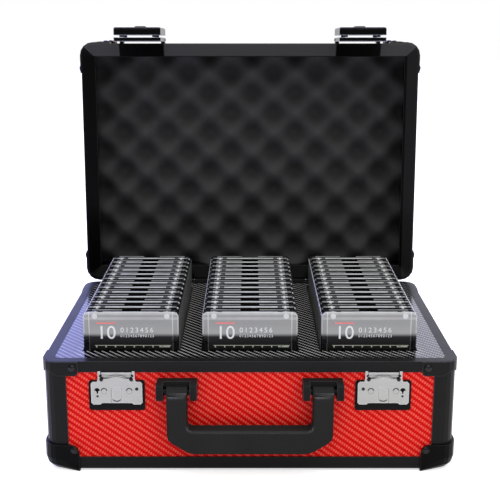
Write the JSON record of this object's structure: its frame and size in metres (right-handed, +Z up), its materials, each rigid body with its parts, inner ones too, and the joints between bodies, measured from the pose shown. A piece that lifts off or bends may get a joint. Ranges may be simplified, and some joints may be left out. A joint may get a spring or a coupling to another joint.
{
  "type": "graded card storage case",
  "caption": "Hinged hard case with metal-framed edges, foam lining, two hasps with push-in locks, a folding handle and rows of clear graded-card holders.",
  "frame": {"origin": "middle of the floor panel's underside", "axes": "+Z up, +X to the right as the latches face the viewer, the latches on the -Y side; the lid is stored open at ninety-two and a half degrees"},
  "size_m": [0.3524, 0.3463, 0.3635],
  "materials": {
    "red_vinyl": "glossy woven-look vinyl",
    "black_metal": "satin black",
    "nickel": "satin plated",
    "foam": "open-cell foam, matte",
    "carbon_sheet": "woven-look sheet",
    "black_plastic": "matte moulded",
    "clear_plastic": "clear, slightly frosted",
    "label_card": "printed card"
  },
  "bodies": {
    "base": {"base_floor_panel": "red_vinyl", "base_front_panel": "red_vinyl", "base_back_panel": "red_vinyl", "base_left_panel": "red_vinyl", "base_right_panel": "red_vinyl", "base_rail_front": "black_metal", "base_rail_back": "black_metal", "base_rail_left": "black_metal", "base_rail_right": "black_metal", "base_frame": "black_metal", "base_cap_front_left": "black_metal", "base_cap_front_right": "black_metal", "base_cap_back_left": "black_metal", "base_cap_back_right": "black_metal", "floor_pad": "foam", "foam_block": "foam", "deck_sheet": "carbon_sheet", "hinge_base_leaf": "black_metal", "lock_plate_left": "black_metal", "lock_plate_right": "black_metal", "lock_cover_left": "nickel", "lock_cover_right": "nickel", "lock_keeper_left": "nickel", "lock_keeper_right": "nickel", "handle_bracket_left": "black_metal", "handle_bracket_right": "black_metal"},
    "lid": {"lid_top_panel": "red_vinyl", "lid_front_panel": "red_vinyl", "lid_back_panel": "red_vinyl", "lid_left_panel": "red_vinyl", "lid_right_panel": "red_vinyl", "lid_rail_front": "black_metal", "lid_rail_back": "black_metal", "lid_rail_left": "black_metal", "lid_rail_right": "black_metal", "lid_frame": "black_metal", "lid_cap_front_left": "black_metal", "lid_cap_front_right": "black_metal", "lid_cap_back_left": "black_metal", "lid_cap_back_right": "black_metal", "lid_foam": "foam", "hinge_lid_leaf": "black_metal", "hinge_pin": "black_metal", "hasp_base_left": "black_metal", "hasp_base_right": "black_metal"},
    "handle": {"handle": "black_plastic"},
    "hasp_left": {"hasp_plate_left": "black_metal", "hasp_cover_left": "black_metal"},
    "button_left": {"hasp_button_left": "black_plastic"},
    "tongue_left": {"lock_tongue_left": "nickel"},
    "hasp_right": {"hasp_plate_right": "black_metal", "hasp_cover_right": "black_metal"},
    "button_right": {"hasp_button_right": "black_plastic"},
    "tongue_right": {"lock_tongue_right": "nickel"},
    "row_left": {"card_holders_left": "clear_plastic", "holder_label_left": "label_card"},
    "row_middle": {"card_holders_middle": "clear_plastic", "holder_label_middle": "label_card"},
    "row_right": {"card_holders_right": "clear_plastic", "holder_label_right": "label_card"}
  },
  "joints": [
    {"name": "lid_hinge", "type": "hinge", "parent": "base", "child": "lid", "pos_m": [0, 0.1249, 0.0948], "axis": [-1, 0, 0], "range_deg": [-92.5, 0]},
    {"name": "handle_hinge", "type": "hinge", "parent": "base", "child": "handle", "pos_m": [0, -0.133, 0.072], "axis": [-1, 0, 0], "range_deg": [0, 90]},
    {"name": "hasp_hinge_left", "type": "hinge", "parent": "lid", "child": "hasp_left", "pos_m": [-0.111, 0.153, 0.3454], "axis": [-1, 0, 0], "range_deg": [0, 90]},
    {"name": "hasp_button_slide_left", "type": "slide", "parent": "hasp_left", "child": "button_left", "axis": [0, -0.0436, -0.999], "range_m": [0, 0.0014], "stiffness_N_per_m": 300, "springref_m": -0.001},
    {"name": "lock_tongue_slide_left", "type": "slide", "parent": "base", "child": "tongue_left", "axis": [0, 1, 0], "range_m": [0, 0.001], "stiffness_N_per_m": 300, "springref_m": -0.001},
    {"name": "hasp_hinge_right", "type": "hinge", "parent": "lid", "child": "hasp_right", "pos_m": [0.111, 0.153, 0.3454], "axis": [-1, 0, 0], "range_deg": [0, 90]},
    {"name": "hasp_button_slide_right", "type": "slide", "parent": "hasp_right", "child": "button_right", "axis": [0, -0.0436, -0.999], "range_m": [0, 0.0014], "stiffness_N_per_m": 300, "springref_m": -0.001},
    {"name": "lock_tongue_slide_right", "type": "slide", "parent": "base", "child": "tongue_right", "axis": [0, 1, 0], "range_m": [0, 0.001], "stiffness_N_per_m": 300, "springref_m": -0.001},
    {"name": "holder_row_lift_left", "type": "slide", "parent": "base", "child": "row_left", "axis": [0, 0, 1], "range_m": [0, 0.095]},
    {"name": "holder_row_lift_middle", "type": "slide", "parent": "base", "child": "row_middle", "axis": [0, 0, 1], "range_m": [0, 0.095]},
    {"name": "holder_row_lift_right", "type": "slide", "parent": "base", "child": "row_right", "axis": [0, 0, 1], "range_m": [0, 0.095]}
  ]
}
